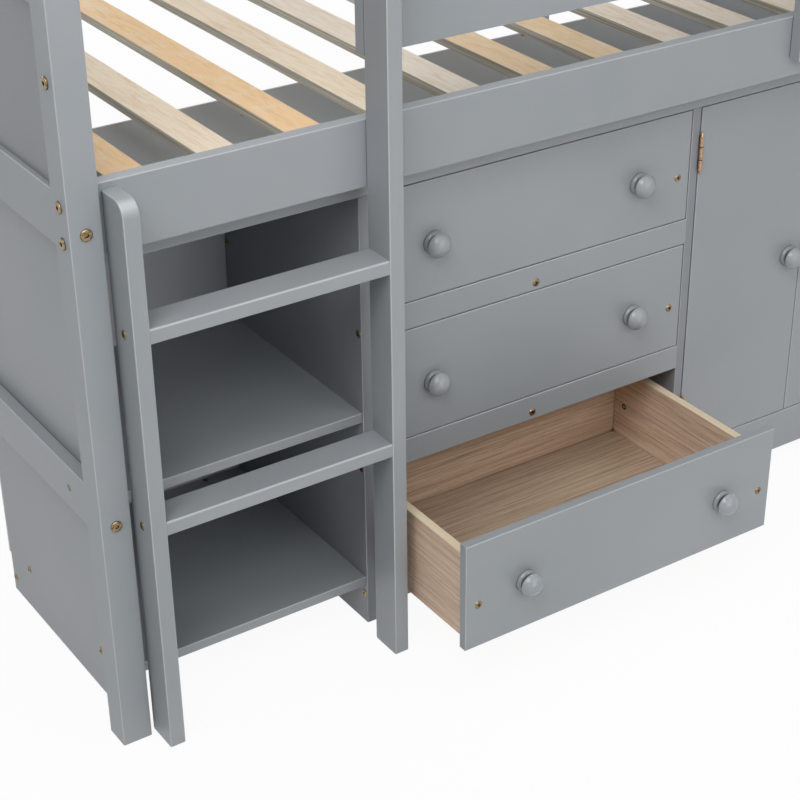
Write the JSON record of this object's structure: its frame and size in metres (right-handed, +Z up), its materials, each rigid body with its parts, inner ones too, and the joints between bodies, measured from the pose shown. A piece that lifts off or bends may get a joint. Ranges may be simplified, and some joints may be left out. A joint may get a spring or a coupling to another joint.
{
  "type": "low loft bed",
  "caption": "Low loft bed with a slatted deck, guard boards and a short ladder over a bookcase, sliding drawers and a cabinet with hinged doors.",
  "frame": {"origin": "on the floor, midway along the bed and midway between the open drawer's knobs and the back uprights", "axes": "+X along the bed away from the ladder end, +Y from the front to the back, +Z up"},
  "size_m": [2.018, 1.749, 1.42],
  "materials": {
    "grey_painted_wood": "satin grey paint on solid wood",
    "grey_painted_panel": "satin grey paint on fibreboard",
    "bare_birch": "bare planed wood",
    "wood_grain_laminate": "wood-grain laminate",
    "brass": "bright brass plate"
  },
  "bodies": {
    "bed": {"post_front_left": "grey_painted_wood", "post_front_right": "grey_painted_wood", "post_back_left": "grey_painted_wood", "post_back_right": "grey_painted_wood", "side_rail_front": "grey_painted_wood", "side_rail_back": "grey_painted_wood", "slat_ledgers": "bare_birch", "slats": "bare_birch", "end_rails_left": "grey_painted_wood", "end_rails_right": "grey_painted_wood", "end_panel_left": "grey_painted_panel", "end_panel_right": "grey_painted_panel", "guard_board_front_lower": "grey_painted_wood", "guard_board_front_upper": "grey_painted_wood", "guard_boards_back": "grey_painted_wood", "guard_upright_front": "grey_painted_wood", "guard_uprights_back": "grey_painted_wood", "ladder_stile_left": "grey_painted_wood", "ladder_stile_right": "grey_painted_wood", "ladder_rungs": "grey_painted_wood", "case_side_left": "grey_painted_panel", "case_side_right": "grey_painted_panel", "bookcase_divider": "grey_painted_panel", "cabinet_divider": "grey_painted_panel", "case_top": "grey_painted_panel", "bookcase_shelf": "grey_painted_panel", "bookcase_bottom": "grey_painted_panel", "case_back": "grey_painted_panel", "cabinet_floor": "grey_painted_panel", "drawer_stretchers": "grey_painted_wood", "chest_bottom_rail": "grey_painted_wood", "cabinet_bottom_rail": "grey_painted_wood", "case_back_rails": "grey_painted_wood", "drawer_runners": "bare_birch", "frame_bolts": "brass", "barrel_nuts": "brass", "wood_screws": "brass", "hinge_leaves_fixed": "brass", "hinge_pins": "brass"},
    "drawer_top": {"drawer_top_front": "grey_painted_wood", "drawer_top_box": "wood_grain_laminate", "drawer_top_bottom": "wood_grain_laminate", "drawer_top_knobs": "grey_painted_wood", "drawer_top_screws": "brass"},
    "drawer_middle": {"drawer_middle_front": "grey_painted_wood", "drawer_middle_box": "wood_grain_laminate", "drawer_middle_bottom": "wood_grain_laminate", "drawer_middle_knobs": "grey_painted_wood", "drawer_middle_screws": "brass"},
    "drawer_lower": {"drawer_lower_front": "grey_painted_wood", "drawer_lower_box": "wood_grain_laminate", "drawer_lower_bottom": "wood_grain_laminate", "drawer_lower_knobs": "grey_painted_wood", "drawer_lower_screws": "brass"},
    "door_left": {"door_left": "grey_painted_panel", "door_left_knob": "grey_painted_wood", "door_left_hinge_leaves": "brass"},
    "door_right": {"door_right": "grey_painted_panel", "door_right_knob": "grey_painted_wood", "door_right_hinge_leaves": "brass"}
  },
  "joints": [
    {"name": "drawer_top_slide", "type": "slide", "parent": "bed", "child": "drawer_top", "axis": [0, -1, 0], "range_m": [0, 0.336]},
    {"name": "drawer_middle_slide", "type": "slide", "parent": "bed", "child": "drawer_middle", "axis": [0, -1, 0], "range_m": [0, 0.336]},
    {"name": "drawer_lower_slide", "type": "slide", "parent": "bed", "child": "drawer_lower", "axis": [0, -1, 0], "range_m": [-0.295, 0.041]},
    {"name": "door_left_hinge", "type": "hinge", "parent": "bed", "child": "door_left", "pos_m": [0.3275, -0.5481, 0.50725], "axis": [0, 0, -1], "range_deg": [0, 87]},
    {"name": "door_right_hinge", "type": "hinge", "parent": "bed", "child": "door_right", "pos_m": [0.9445, -0.5481, 0.50725], "axis": [0, 0, 1], "range_deg": [0, 97]}
  ]
}
